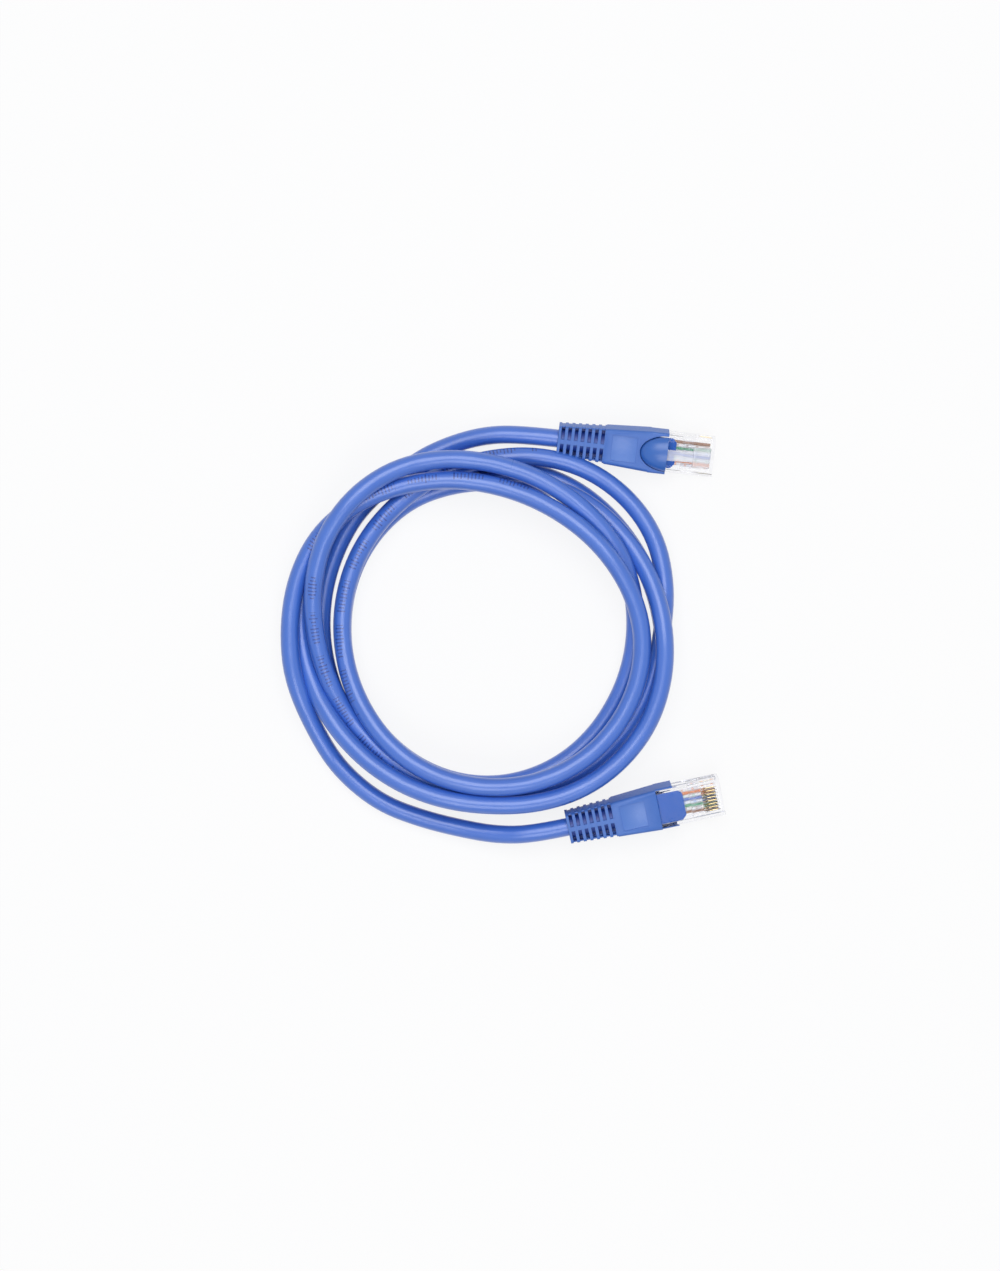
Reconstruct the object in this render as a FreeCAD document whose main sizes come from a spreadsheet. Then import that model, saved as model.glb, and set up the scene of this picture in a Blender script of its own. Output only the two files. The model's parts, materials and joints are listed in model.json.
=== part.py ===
import FreeCAD, Part, Sketcher
import math
import os
import re

# An eight-way modular patch cable: a round jacketed cable wound into a flat coil, with a
# moulded plug on each end.  Millimetres, +Z up, standing on the plane z = 0.  The origin lies
# on that plane, midway between the two plugs, and +X is the way both plugs point.
#
# Each plug is drawn in a frame of its own: x = 0 is the boot's rear face, +x is the way it
# plugs in, +z is the side of the gold contacts and -z the side of the latch.

doc = FreeCAD.newDocument("patch_cable")
sheet = doc.addObject("Spreadsheet::Sheet", "Sizes")

SIZES = [
    # the cable and what its jacket holds
    ("cable_diameter", 5.5),
    ("jacket_wall", 0.5),
    ("insulation_diameter", 0.9),
    ("core_diameter", 0.5),
    ("pair_offset_across", 1.12),
    ("pair_offset_up", 0.75),
    ("pair_spacing", 0.96),
    ("separator_web", 0.28),
    ("jacket_end_reach", 21.5),
    ("wire_bend_reach", 2.3),
    ("wire_tip_gap", 0.1),
    ("wire_play", 0.04),
    # the clear plug housing
    ("plug_length", 21.46),
    ("plug_width", 11.68),
    ("plug_height", 6.6),
    ("plug_edge_chamfer", 0.35),
    ("cavity_length", 11.8),
    ("cavity_width", 9.4),
    ("cavity_height", 5.2),
    ("channel_width", 8.6),
    ("channel_height", 1.24),
    ("front_wall", 1.4),
    ("wire_row_height", -0.55),
    ("latch_recess_width", 7.0),
    ("latch_recess_depth", 0.4),
    ("latch_recess_length", 13.0),
    # the gold contact blades and the bar that spaces the wires
    ("contact_pitch", 1.02),
    ("contact_thickness", 0.3),
    ("contact_length", 4.8),
    ("contact_below_face", 0.55),
    ("contact_tooth_depth", 0.7),
    ("contact_front_gap", 1.25),
    ("contact_shoulder", 0.8),
    ("contact_tooth_half", 0.7),
    ("contact_tooth_front", 0.5),
    ("slot_clearance", 0.04),
    ("load_bar_length", 3.0),
    ("load_bar_gap", 0.4),
    # the latch
    ("latch_length", 14.3),
    ("latch_thickness", 1.0),
    ("latch_shoulder_width", 6.1),
    ("latch_tail_width", 3.2),
    ("latch_shoulder_length", 4.9),
    ("latch_catch_height", 0.6),
    ("latch_rest_angle", 9.0),
    ("latch_root_inset", 1.6),
    ("latch_gap", 0.12),
    ("latch_root_land", 0.9),
    ("latch_tail_lap", 0.5),
    ("latch_catch_length", 1.1),
    # the inner mould
    ("mould_reach_back", 6.2),
    ("mould_reach_front", 9.8),
    ("mould_rear_width", 9.0),
    ("mould_rear_height", 6.6),
    ("mould_front_chamfer", 1.3),
    ("mould_clearance", 0.05),
    ("mould_end_gap", 0.4),
    ("separator_play", 0.3),
    # the boot
    ("relief_length", 14.5),
    ("relief_rear_width", 9.1),
    ("relief_rear_height", 8.0),
    ("relief_front_width", 10.6),
    ("relief_front_height", 8.6),
    ("relief_core_diameter", 6.9),
    ("relief_web", 1.3),
    ("slot_count", 7),
    ("slot_width", 1.1),
    ("slot_pitch", 2.02),
    ("slot_first", 0.8),
    ("slot_wall", 0.4),
    ("slot_wall_inset", 0.12),
    ("slot_wall_height", 4.8),
    ("slot_floor", 1.6),
    ("grip_step", 0.15),
    ("body_length", 13.5),
    ("body_width", 12.7),
    ("body_above_axis", 3.95),
    ("body_below_axis", 4.9),
    ("skirt_length", 5.3),
    ("plug_grip", 1.86),
    ("boot_edge_radius", 1.1),
    ("label_start", 1.9),
    ("label_length", 7.6),
    ("label_width", 7.8),
    ("label_depth", 0.3),
    # the press dome over the latch
    ("hood_length", 8.0),
    ("hood_width", 10.4),
    ("hood_height", 2.9),
    ("hood_wall", 0.9),
    ("hood_gap", 0.2),
    ("hood_play", 0.25),
    # how the cable lies
    ("lead_straight", 11.0),
    ("coil_height", 16.5),
    ("coil_lower_bevel", 2.0),
    ("coil_upper_bevel", 4.0),
    ("coil_centre_x", -46.0),
    ("coil_centre_y", -0.24),
    ("plug_a_rear_x", -25.1),
    ("plug_a_rear_y", 58.86),
    ("plug_a_axis_height", 5.465),
    ("plug_a_yaw", -6.6),
    ("plug_a_roll", 195.0),
    ("plug_b_rear_x", -22.2),
    ("plug_b_rear_y", -59.04),
    ("plug_b_axis_height", 8.35),
    ("plug_b_yaw", 12.1),
    ("plug_b_roll", 12.0),
]
for row, (alias, number) in enumerate(SIZES, start=1):
    sheet.set(f"A{row}", alias)
    sheet.set(f"B{row}", str(number))
    sheet.setAlias(f"B{row}", alias)
doc.recompute()

mm = {alias: float(sheet.get(alias)) for alias, number in SIZES}

# Stations along a plug's own x axis, as expressions on the sheet.
RELIEF_END = "relief_length"
FACE_END = "(relief_length + body_length)"
SKIRT_END = "(relief_length + body_length + skirt_length)"
PLUG_REAR = "(relief_length + body_length - plug_grip)"
PLUG_FRONT = "(relief_length + body_length - plug_grip + plug_length)"
CAVITY_END = "(relief_length + body_length - plug_grip + cavity_length)"
MOULD_REAR = "(relief_length + body_length - plug_grip - mould_reach_back)"
MOULD_FRONT = "(relief_length + body_length - plug_grip + mould_reach_front)"

# A wire's arc takes up this share of the shorter of its two runs.
ARC_SHARE = 0.45
# Corners that turn less than this stay as they are.
LEAST_TURN = 1e-4
# A tube's volume may differ this much from its section times its length.
TUBE_TOLERANCE = 0.01
# How near a point has to be to a face to lie on it, in millimetres.
ON_FACE = 0.01
# A long edge runs within this cosine of the plug's axis.
LONG_EDGE = 0.9
# The skirt's edges are rounded less than the grip's.
SKIRT_ROUNDING = 0.6

WIRE_NAMES = (
    "white_orange",
    "orange",
    "white_green",
    "blue",
    "white_blue",
    "green",
    "white_brown",
    "brown",
)

ALONG_X = FreeCAD.Rotation(FreeCAD.Vector(0, 1, 0), 90)
nodes = []


def on_sheet(text):
    """Turn the words of an expression into references to the sheet's cells."""
    return re.sub(r"[a-z][a-z_]+", lambda word: "Sizes." + word.group(0), text)


def bind(thing, **expressions):
    for name, text in expressions.items():
        thing.setExpression(name.replace("__", "."), on_sheet(text))


def block(name, x_from, x_to, width, z_from, z_to, y_centre="0"):
    """A box between two x stations and two heights, centred across."""
    piece = doc.addObject("Part::Box", name)
    bind(
        piece,
        Length=f"{x_to} - ({x_from})",
        Width=width,
        Height=f"{z_to} - ({z_from})",
        Placement__Base__x=x_from,
        Placement__Base__y=f"{y_centre} - ({width}) / 2",
        Placement__Base__z=z_from,
    )
    return piece


def rod(name, x_from, x_to, diameter):
    """A cylinder along the plug's axis."""
    piece = doc.addObject("Part::Cylinder", name)
    piece.Placement = FreeCAD.Placement(FreeCAD.Vector(), ALONG_X)
    bind(piece, Radius=f"({diameter}) / 2", Height=f"{x_to} - ({x_from})", Placement__Base__x=x_from)
    return piece


def tapered(name, x_from, x_to, rear, front):
    """A block whose (width, lowest, highest) goes from rear to front."""
    piece = doc.addObject("Part::Wedge", name)
    bind(
        piece,
        Ymin=x_from,
        Ymax=x_to,
        Xmin=f"-({rear[0]}) / 2",
        Xmax=f"({rear[0]}) / 2",
        Zmin=rear[1],
        Zmax=rear[2],
        X2min=f"-({front[0]}) / 2",
        X2max=f"({front[0]}) / 2",
        Z2min=front[1],
        Z2max=front[2],
    )
    piece.Placement = FreeCAD.Placement(FreeCAD.Vector(), FreeCAD.Rotation(FreeCAD.Vector(0, 0, 1), -90))
    return piece


def fused(name, pieces):
    whole = doc.addObject("Part::MultiFuse", name)
    whole.Shapes = pieces
    return whole


def common(name, pieces):
    shared = doc.addObject("Part::MultiCommon", name)
    shared.Shapes = pieces
    return shared


def without(name, base, tools):
    """The base with every tool cut out of it."""
    rest = doc.addObject("Part::Cut", name)
    rest.Base = base
    rest.Tool = tools[0] if len(tools) == 1 else fused(name + "_tools", tools)
    return rest


def rounded(name, base, radius):
    """The base with its long edges rounded."""
    doc.recompute()
    piece = doc.addObject("Part::Fillet", name)
    piece.Base = base
    long_edges = [
        number
        for number, edge in enumerate(base.Shape.Edges, start=1)
        if abs(edge.tangentAt(edge.FirstParameter).x) > LONG_EDGE
    ]
    piece.Edges = [(number, radius, radius) for number in long_edges]
    return piece


def sketch_box(body, name, plane, low, high, offset):
    """A rectangle on one of the body's origin planes, between two corners of the sheet."""
    sketch = body.newObject("Sketcher::SketchObject", name)
    base_plane = next(item for item in body.Origin.OriginFeatures if item.Role == plane)
    sketch.AttachmentSupport = [(base_plane, "")]
    sketch.MapMode = "FlatFace"
    corners = [(-1, -1), (1, -1), (1, 1), (-1, 1)]
    for start, end in zip(corners, corners[1:] + corners[:1]):
        sketch.addGeometry(Part.LineSegment(FreeCAD.Vector(*start, 0), FreeCAD.Vector(*end, 0)), False)
    add_rectangle_constraints(sketch)
    bind(
        sketch,
        Constraints__left=low[0],
        Constraints__bottom=low[1],
        Constraints__right=high[0],
        Constraints__top=high[1],
        AttachmentOffset__Base__z=offset,
    )
    return sketch


def add_rectangle_constraints(sketch):
    for corner in range(4):
        sketch.addConstraint(Sketcher.Constraint("Coincident", corner, 2, (corner + 1) % 4, 1))
    for side in (0, 2):
        sketch.addConstraint(Sketcher.Constraint("Horizontal", side))
        sketch.addConstraint(Sketcher.Constraint("Vertical", side + 1))
    placed = [("left", "DistanceX", 0, -1), ("bottom", "DistanceY", 0, -1)]
    placed += [("right", "DistanceX", 2, 1), ("top", "DistanceY", 2, 1)]
    for name, kind, side, number in placed:
        index = sketch.addConstraint(Sketcher.Constraint(kind, -1, 1, side, 1, number))
        sketch.renameConstraint(index, name)


def pad(body, name, sketch, length):
    feature = body.newObject("PartDesign::Pad", name)
    feature.Profile = sketch
    bind(feature, Length=length)
    return feature


def pocket(body, name, sketch, length, forwards):
    """A pocket that cuts along the sketch's normal when forwards, and against it otherwise."""
    feature = body.newObject("PartDesign::Pocket", name)
    feature.Profile = sketch
    feature.Reversed = forwards
    bind(feature, Length=length)
    before = feature.BaseFeature.Shape.Volume
    doc.recompute()
    if not feature.Shape.Volume < before - 0.01:
        raise RuntimeError(f"{name} cuts nothing")
    return feature


def keep(piece, node, placement):
    """Name a finished sub-part and put it in its place."""
    piece.Label = node
    piece.Placement = placement
    nodes.append(piece)
    return piece


def solid_feature(name, shape):
    feature = doc.addObject("Part::Feature", name)
    feature.Shape = shape
    return feature


def rounded_route(points):
    """A wire of straight runs joined by tangent arcs, and the radii of its arcs.

    Each arc is as large as its two runs allow: a share of the shorter run over the tangent
    of half the turn.
    """
    edges = []
    radii = []
    start = points[0]
    for before, corner, after in zip(points, points[1:], points[2:]):
        back = before - corner
        ahead = after - corner
        trim = ARC_SHARE * min(back.Length, ahead.Length)
        back.normalize()
        ahead.normalize()
        half_turn = (math.pi - back.getAngle(ahead)) / 2
        if half_turn < LEAST_TURN:
            continue
        radius = trim / math.tan(half_turn)
        arc_start = corner + back * trim
        arc_end = corner + ahead * trim
        middle = corner + (back + ahead).normalize() * (radius / math.cos(half_turn) - radius)
        edges.append(Part.LineSegment(start, arc_start).toShape())
        edges.append(Part.Arc(arc_start, middle, arc_end).toShape())
        radii.append(radius)
        start = arc_end
    edges.append(Part.LineSegment(start, points[-1]).toShape())
    return Part.Wire(edges), radii


def tube_along(points, diameter):
    """A round solid that follows the rounded route through the points."""
    path, radii = rounded_route(points)
    ring = Part.Wire(Part.makeCircle(diameter / 2, points[0], points[1] - points[0]))
    tube = path.makePipeShell([ring], True, False)
    section = math.pi * diameter**2 / 4
    if abs(tube.Volume - section * path.Length) > TUBE_TOLERANCE * tube.Volume:
        raise RuntimeError("a tube's volume isn't its section times its length")
    return tube, path.Length, radii


# ---- the pieces of one plug, each in the plug's own frame --------------------------------


def contact_y(number):
    return (3.5 - number) * mm["contact_pitch"]


def blade_shape(number):
    """One contact: a flat blade with two teeth below and a rounded shoulder at the front."""
    front = mm["relief_length"] + mm["body_length"] - mm["plug_grip"] + mm["plug_length"]
    front -= mm["contact_front_gap"]
    rear = front - mm["contact_length"]
    top = mm["plug_height"] / 2 - mm["contact_below_face"]
    waist = mm["wire_row_height"] + mm["insulation_diameter"] / 2
    tooth = waist - mm["contact_tooth_depth"]
    shoulder = mm["contact_shoulder"]
    half_tooth = mm["contact_tooth_half"]
    foot = front - mm["contact_tooth_front"]
    side = contact_y(number) - mm["contact_thickness"] / 2
    outline = [
        (rear, top - 2 * shoulder),
        (rear, waist),
        (rear + half_tooth, tooth),
        (rear + 2 * half_tooth, waist),
        (foot - 2 * half_tooth, waist),
        (foot - half_tooth, tooth),
        (foot, waist),
        (front, waist + shoulder),
        (front, top - shoulder),
        (front - shoulder, top),
        (rear + 2 * shoulder, top),
    ]
    corners = [FreeCAD.Vector(x, side, z) for x, z in outline]
    face = Part.Face(Part.makePolygon(corners + corners[:1]))
    return face.extrude(FreeCAD.Vector(0, mm["contact_thickness"], 0))


def wire_route(number):
    """From the jacket, where the wires lie as four pairs, out to the flat row in the plug."""
    across = [mm["pair_offset_across"] + mm["pair_spacing"] / 2]
    across += [mm["pair_offset_across"] - mm["pair_spacing"] / 2]
    upper = {0: across[0], 1: across[1], 6: -across[1], 7: -across[0]}
    lower = {2: across[0], 3: across[1], 4: -across[1], 5: -across[0]}
    if number in upper:
        y_start = upper[number]
        z_start = mm["pair_offset_up"]
    else:
        y_start = lower[number]
        z_start = -mm["pair_offset_up"]
    jacket_end = mm["jacket_end_reach"]
    plug_rear = mm["relief_length"] + mm["body_length"] - mm["plug_grip"]
    tip = plug_rear + mm["plug_length"] - mm["front_wall"] - mm["wire_tip_gap"]
    y_row = contact_y(number)
    z_row = mm["wire_row_height"]
    first_bend = jacket_end + mm["wire_bend_reach"]
    last_bend = plug_rear + mm["mould_reach_front"] - mm["wire_bend_reach"]
    return [
        FreeCAD.Vector(0, y_start, z_start),
        FreeCAD.Vector(first_bend, y_start, z_start),
        FreeCAD.Vector((first_bend + last_bend) / 2, y_row, z_start),
        FreeCAD.Vector(last_bend, y_row, z_row),
        FreeCAD.Vector(tip, y_row, z_row),
    ]


def wire_tube(number, diameter):
    return tube_along(wire_route(number), diameter)[0]


def build_housing(end, placement):
    """The clear moulded body: a cavity at the rear, a wire channel and eight contact slots."""
    body = doc.addObject("PartDesign::Body", "housing_" + end)
    outer = sketch_box(
        body,
        "outer_" + end,
        "YZ_Plane",
        ("-plug_width / 2", "-plug_height / 2"),
        ("plug_width / 2", "plug_height / 2"),
        PLUG_REAR,
    )
    pad(body, "housing_block_" + end, outer, "plug_length")
    doc.recompute()
    cavity = sketch_box(
        body,
        "cavity_" + end,
        "YZ_Plane",
        ("-cavity_width / 2", "-cavity_height / 2"),
        ("cavity_width / 2", "cavity_height / 2"),
        PLUG_REAR,
    )
    pocket(body, "cavity_pocket_" + end, cavity, "cavity_length", True)
    channel = sketch_box(
        body,
        "channel_" + end,
        "YZ_Plane",
        ("-channel_width / 2", "wire_row_height - channel_height / 2"),
        ("channel_width / 2", "wire_row_height + channel_height / 2"),
        CAVITY_END,
    )
    pocket(body, "channel_pocket_" + end, channel, "plug_length - cavity_length - front_wall", True)
    recess = sketch_box(
        body,
        "latch_recess_" + end,
        "XY_Plane",
        (PLUG_FRONT + " - latch_root_inset - latch_recess_length", "-latch_recess_width / 2"),
        (PLUG_FRONT + " - latch_root_inset - latch_root_land", "latch_recess_width / 2"),
        "-plug_height / 2",
    )
    pocket(body, "latch_recess_pocket_" + end, recess, "latch_recess_depth", True)
    slot = sketch_box(
        body,
        "slot_" + end,
        "XY_Plane",
        (
            PLUG_FRONT + " - contact_front_gap - contact_length - slot_clearance",
            "-3.5 * contact_pitch - contact_thickness / 2 - slot_clearance",
        ),
        (
            PLUG_FRONT + " - contact_front_gap + slot_clearance",
            "-3.5 * contact_pitch + contact_thickness / 2 + slot_clearance",
        ),
        "plug_height / 2",
    )
    cut = pocket(body, "slot_pocket_" + end, slot, "plug_height / 2 - wire_row_height", False)
    row = body.newObject("PartDesign::LinearPattern", "slot_row_" + end)
    row.Originals = [cut]
    row.Direction = (slot, ["V_Axis"])
    row.Occurrences = len(WIRE_NAMES)
    bind(row, Length="7 * contact_pitch")
    body.Tip = row
    doc.recompute()
    edges = [
        f"Edge{number}"
        for number, edge in enumerate(row.Shape.Edges, start=1)
        if is_outer_long_edge(edge)
    ]
    chamfer = body.newObject("PartDesign::Chamfer", "housing_edges_" + end)
    chamfer.Base = (row, edges)
    bind(chamfer, Size="plug_edge_chamfer")
    body.Tip = chamfer
    return keep(body, "plug_housing_" + end, placement)


def is_outer_long_edge(edge):
    middle = edge.valueAt((edge.FirstParameter + edge.LastParameter) / 2)
    at_side = abs(abs(middle.y) - mm["plug_width"] / 2) < ON_FACE
    at_face = abs(abs(middle.z) - mm["plug_height"] / 2) < ON_FACE
    return at_side and at_face and edge.Length > mm["plug_length"] / 2


def build_contacts(end, placement):
    blades = [solid_feature(f"contact_{number}_{end}", blade_shape(number)) for number in range(8)]
    group = doc.addObject("Part::Compound", "contact_set_" + end)
    group.Links = blades
    return keep(group, "contacts_" + end, placement)


def build_wires(end, placement):
    """Eight insulated wires, each its own sub-part, and their copper cores as one set."""
    cores = []
    for number, colour in enumerate(WIRE_NAMES):
        blade = blade_shape(number)
        core = wire_tube(number, mm["core_diameter"])
        insulation = wire_tube(number, mm["insulation_diameter"]).cut([core, blade])
        cores.append(solid_feature(f"core_{number}_{end}", core.cut(blade)))
        wire = solid_feature(f"insulation_{number}_{end}", insulation)
        keep(wire, f"wire_{colour}_{end}", placement)
    group = doc.addObject("Part::Compound", "core_set_" + end)
    group.Links = cores
    return keep(group, "conductor_cores_" + end, placement)


def wire_space(end):
    """What the wires take up, with a little room, for the pieces that are moulded round them."""
    room = mm["insulation_diameter"] + mm["wire_play"]
    tubes = [wire_tube(number, room) for number in range(len(WIRE_NAMES))]
    return solid_feature("wire_space_" + end, tubes[0].fuse(tubes[1:]))


def build_load_bar(end, placement):
    bar = block(
        "bar_" + end,
        PLUG_FRONT + " - contact_front_gap - contact_length - load_bar_gap - load_bar_length",
        PLUG_FRONT + " - contact_front_gap - contact_length - load_bar_gap",
        "channel_width - 2 * mould_clearance",
        "wire_row_height - channel_height / 2 + mould_clearance",
        "wire_row_height + channel_height / 2 - mould_clearance",
    )
    piece = without("bar_with_holes_" + end, bar, [wire_space(end)])
    return keep(piece, "load_bar_" + end, placement)


def build_latch(end, placement):
    """The lever, drawn level with its root at the origin and then tilted to its rest angle."""
    half = "latch_thickness / 2"
    shoulder = block(
        "latch_shoulder_" + end, "-latch_shoulder_length", "0", "latch_shoulder_width", "-" + half, half
    )
    tail = block(
        "latch_tail_" + end,
        "-latch_length",
        "-latch_shoulder_length + latch_tail_lap",
        "latch_tail_width",
        "-" + half,
        half,
    )
    catch = block(
        "latch_catch_" + end,
        "-latch_shoulder_length",
        "-latch_shoulder_length + latch_catch_length",
        "latch_shoulder_width",
        "-latch_thickness / 2 - latch_catch_height",
        "0",
    )
    root = doc.addObject("Part::Cylinder", "latch_root_" + end)
    root.Placement = FreeCAD.Placement(FreeCAD.Vector(), FreeCAD.Rotation(FreeCAD.Vector(1, 0, 0), -90))
    bind(root, Radius=half, Height="latch_shoulder_width", Placement__Base__y="-latch_shoulder_width / 2")
    lever = fused("lever_" + end, [shoulder, tail, catch, root])
    tilt = FreeCAD.Rotation(FreeCAD.Vector(0, 1, 0), -mm["latch_rest_angle"])
    return keep(lever, "latch_" + end, placement * FreeCAD.Placement(latch_pivot(), tilt))


def latch_pivot():
    front = mm["relief_length"] + mm["body_length"] - mm["plug_grip"] + mm["plug_length"]
    depth = mm["plug_height"] / 2 + mm["latch_gap"] + mm["latch_thickness"] / 2
    return FreeCAD.Vector(front - mm["latch_root_inset"], 0, -depth)


def hood_pivot():
    front = mm["relief_length"] + mm["body_length"] + mm["skirt_length"]
    return FreeCAD.Vector(front - mm["hood_length"], 0, -mm["body_below_axis"] - mm["hood_gap"])


def dome(name, thinner):
    """A half ellipsoid hanging from the boot's latch face, its round end to the rear."""
    shape = doc.addObject("Part::Ellipsoid", name)
    bind(
        shape,
        Radius1=f"hood_height - {thinner}",
        Radius2=f"hood_length - {thinner}",
        Radius3=f"hood_width / 2 - {thinner}",
        Placement__Base__x=SKIRT_END,
        Placement__Base__z="-body_below_axis - hood_gap",
    )
    return shape


def build_hood(end, placement):
    """The press dome: a shell, open at the front, where the latch's tail goes in."""
    outside = dome("dome_" + end, "0")
    shell = without("dome_shell_" + end, outside, [dome("dome_hollow_" + end, "hood_wall")])
    space = block(
        "dome_space_" + end,
        SKIRT_END + " - hood_length - 1",
        SKIRT_END,
        "hood_width + 2",
        "-body_below_axis - hood_gap - hood_height - 1",
        "-body_below_axis - hood_gap",
    )
    return keep(common("dome_half_" + end, [shell, space]), "latch_hood_" + end, placement)


def build_mould(end, placement):
    """The inner mould: it grips the jacket's end and fills the rear of the housing."""
    rear = block(
        "mould_rear_" + end,
        MOULD_REAR,
        PLUG_REAR,
        "mould_rear_width",
        "-mould_rear_height / 2",
        "mould_rear_height / 2",
    )
    front = block(
        "mould_front_" + end,
        PLUG_REAR,
        MOULD_FRONT,
        "cavity_width - 2 * mould_clearance",
        "-cavity_height / 2 + mould_clearance",
        "cavity_height / 2 - mould_clearance",
    )
    whole = fused("mould_blocks_" + end, [rear, front])
    doc.recompute()
    chamfered = doc.addObject("Part::Chamfer", "mould_chamfer_" + end)
    chamfered.Base = whole
    front_x = mm["relief_length"] + mm["body_length"] - mm["plug_grip"] + mm["mould_reach_front"]
    size = mm["mould_front_chamfer"]
    chamfered.Edges = [
        (number, size, size)
        for number, edge in enumerate(whole.Shape.Edges, start=1)
        if abs(edge.CenterOfMass.x - front_x) < ON_FACE and abs(edge.CenterOfMass.z) < ON_FACE
    ]
    jacket_space = rod(
        "jacket_space_" + end,
        MOULD_REAR + " - 1",
        "jacket_end_reach",
        "cable_diameter + 2 * mould_clearance",
    )
    core_space = rod(
        "bundle_space_" + end,
        "jacket_end_reach - 1",
        "jacket_end_reach + mould_end_gap",
        "cable_diameter - 2 * jacket_wall",
    )
    piece = without("mould_cut_" + end, chamfered, [jacket_space, core_space, wire_space(end)])
    return keep(piece, "inner_mould_" + end, placement)


def build_jacket_end(end, placement):
    outer = rod("jacket_outer_" + end, "0", "jacket_end_reach", "cable_diameter")
    inner = rod("jacket_inner_" + end, "-1", "jacket_end_reach + 1", "cable_diameter - 2 * jacket_wall")
    return keep(without("jacket_tube_" + end, outer, [inner]), "jacket_end_" + end, placement)


def build_separator(end, placement):
    """The cross that keeps the four pairs apart inside the jacket."""
    reach = "cable_diameter - 2 * jacket_wall - separator_play"
    level = block(
        "web_level_" + end,
        "0",
        "jacket_end_reach",
        reach,
        "-separator_web / 2",
        "separator_web / 2",
    )
    upright = block(
        "web_upright_" + end,
        "0",
        "jacket_end_reach",
        "separator_web",
        f"-({reach}) / 2",
        f"({reach}) / 2",
    )
    return keep(fused("cross_" + end, [level, upright]), "pair_separator_" + end, placement)


def relief_layer(name, inset, half_height):
    """A layer of the relief, as wide as its faces less an inset on each side."""
    return tapered(
        name,
        "0",
        RELIEF_END,
        (f"relief_rear_width - 2 * ({inset})", f"-({half_height})", half_height),
        (f"relief_front_width - 2 * ({inset})", f"-({half_height})", half_height),
    )


def relief_slots(end):
    """Seven pockets on each side of a web, closed by a thin wall at the relief's sides."""
    boxes = []
    for number in range(int(mm["slot_count"])):
        start = f"(slot_first + {number} * slot_pitch)"
        boxes.append(
            block(
                f"slot_box_{number}_{end}",
                start,
                start + " + slot_width",
                "2 * relief_front_width",
                "-relief_front_height",
                "relief_front_height",
            )
        )
    sleeve = rod("sleeve_" + end, "-1", RELIEF_END + " + 1", "relief_core_diameter")
    web = block(
        "relief_web_" + end,
        "-1",
        RELIEF_END + " + 1",
        "relief_web",
        "-relief_front_height - 1",
        "relief_front_height + 1",
    )
    floor = relief_layer("slot_floors_" + end, "slot_wall_inset", "slot_floor / 2")
    outside = relief_layer("slot_walls_outside_" + end, "slot_wall_inset", "slot_wall_height / 2")
    inside = relief_layer(
        "slot_walls_inside_" + end, "slot_wall_inset + slot_wall", "slot_wall_height / 2 + 1"
    )
    walls = without("slot_walls_" + end, outside, [inside])
    return without("slots_" + end, fused("slot_boxes_" + end, boxes), [sleeve, web, floor, walls])


def grip_face(half_height, share):
    """How far the grip's sloping face stands from the axis, part of the way to its front end."""
    rear = "(relief_front_height / 2 + grip_step)"
    return f"({rear} + ({half_height} - {rear}) * ({share}) / (({FACE_END}) - ({RELIEF_END})))"


def label_recess(name, half_height, side):
    """A shallow recess whose floor follows the grip's sloping face, above (1) or below (-1)."""
    ends = ("label_start", "label_start + label_length")
    floors = [f"{grip_face(half_height, share)} - label_depth" for share in ends]
    outside = half_height + " + 2"
    spans = [(floor, outside) if side > 0 else (f"-({outside})", f"-({floor})") for floor in floors]
    return tapered(
        name,
        RELIEF_END + " + label_start",
        RELIEF_END + " + label_start + label_length",
        ("label_width", *spans[0]),
        ("label_width", *spans[1]),
    )


def hood_well(end):
    """The opening under the press dome: the dome's outline with room to sink in."""
    outline = doc.addObject("Part::Ellipse", "well_outline_" + end)
    bind(
        outline,
        MajorRadius="hood_length + hood_play",
        MinorRadius="hood_width / 2 + hood_play",
        Placement__Base__x=SKIRT_END,
        Placement__Base__z="-body_below_axis - 1",
    )
    well = doc.addObject("Part::Extrusion", "well_" + end)
    well.Base = outline
    well.DirMode = "Custom"
    well.Dir = FreeCAD.Vector(0, 0, 1)
    well.Solid = True
    bind(well, LengthFwd="body_below_axis + 1 - plug_height / 2")
    return well


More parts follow.
